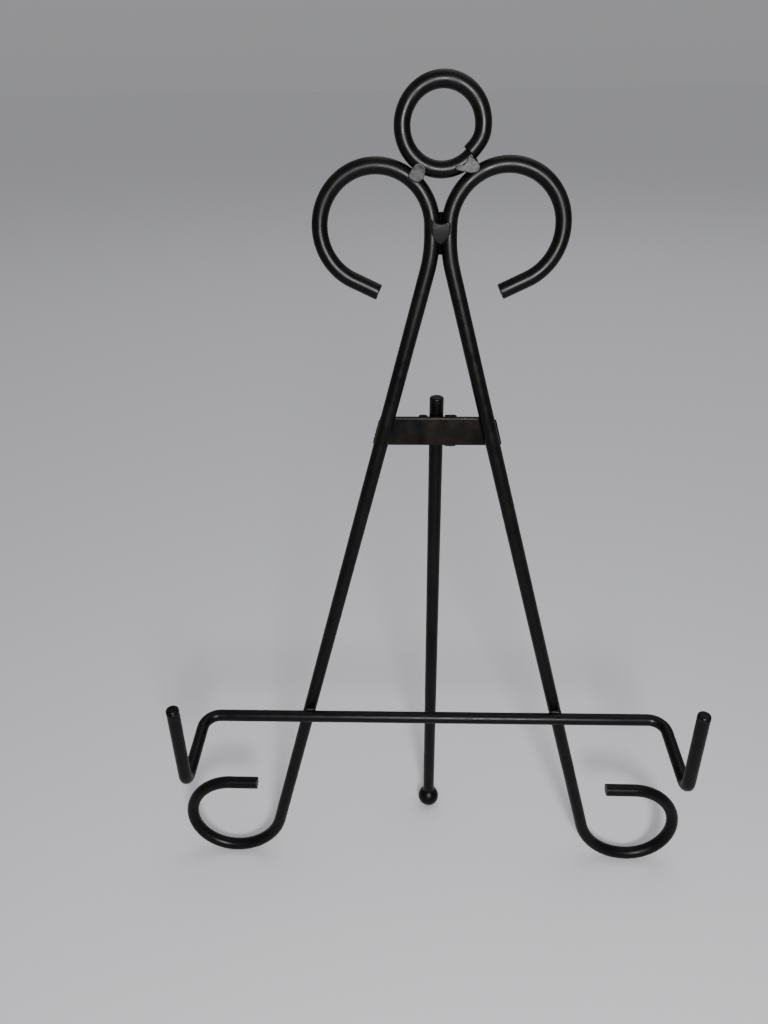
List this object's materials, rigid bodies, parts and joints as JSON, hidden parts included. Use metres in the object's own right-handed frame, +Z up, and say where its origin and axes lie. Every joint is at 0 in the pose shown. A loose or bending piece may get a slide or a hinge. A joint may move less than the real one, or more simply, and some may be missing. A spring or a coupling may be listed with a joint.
{
  "type": "tabletop easel",
  "caption": "Black scrolled rod tabletop easel: two splayed legs with scroll ends, a hanging ring, a hooked ledge rod, and a hinged back strut on a flat cross plate.",
  "frame": {"origin": "on the table, under the middle of the easel's box in its rest pose", "axes": "+Z up, -Y towards the viewer, on the ledge's side, +X to the viewer's right"},
  "size_m": [0.2104, 0.0642, 0.2999],
  "materials": {
    "rod_enamel": "satin-gloss black enamel on round steel rod",
    "plate_enamel": "satin black enamel on flat steel strip",
    "weld_enamel": "flatter black enamel over lumpy weld metal"
  },
  "bodies": {
    "frame": {"left_leg": "rod_enamel", "right_leg": "rod_enamel", "top_ring": "rod_enamel", "ledge_rod": "rod_enamel", "cross_plate": "plate_enamel", "hinge_bracket": "plate_enamel", "hinge_pin": "plate_enamel", "ring_weld_left": "weld_enamel", "ring_weld_right": "weld_enamel", "neck_weld": "weld_enamel", "plate_welds": "weld_enamel", "ledge_welds": "weld_enamel", "bracket_welds": "weld_enamel"},
    "strut": {"strut_rod": "rod_enamel", "ball_foot": "rod_enamel"}
  },
  "joints": [
    {"name": "strut_hinge", "type": "hinge", "parent": "frame", "child": "strut", "pos_m": [0, 0.02742, 0.19166], "axis": [1, 0, 0], "range_deg": [-10, 25]}
  ]
}
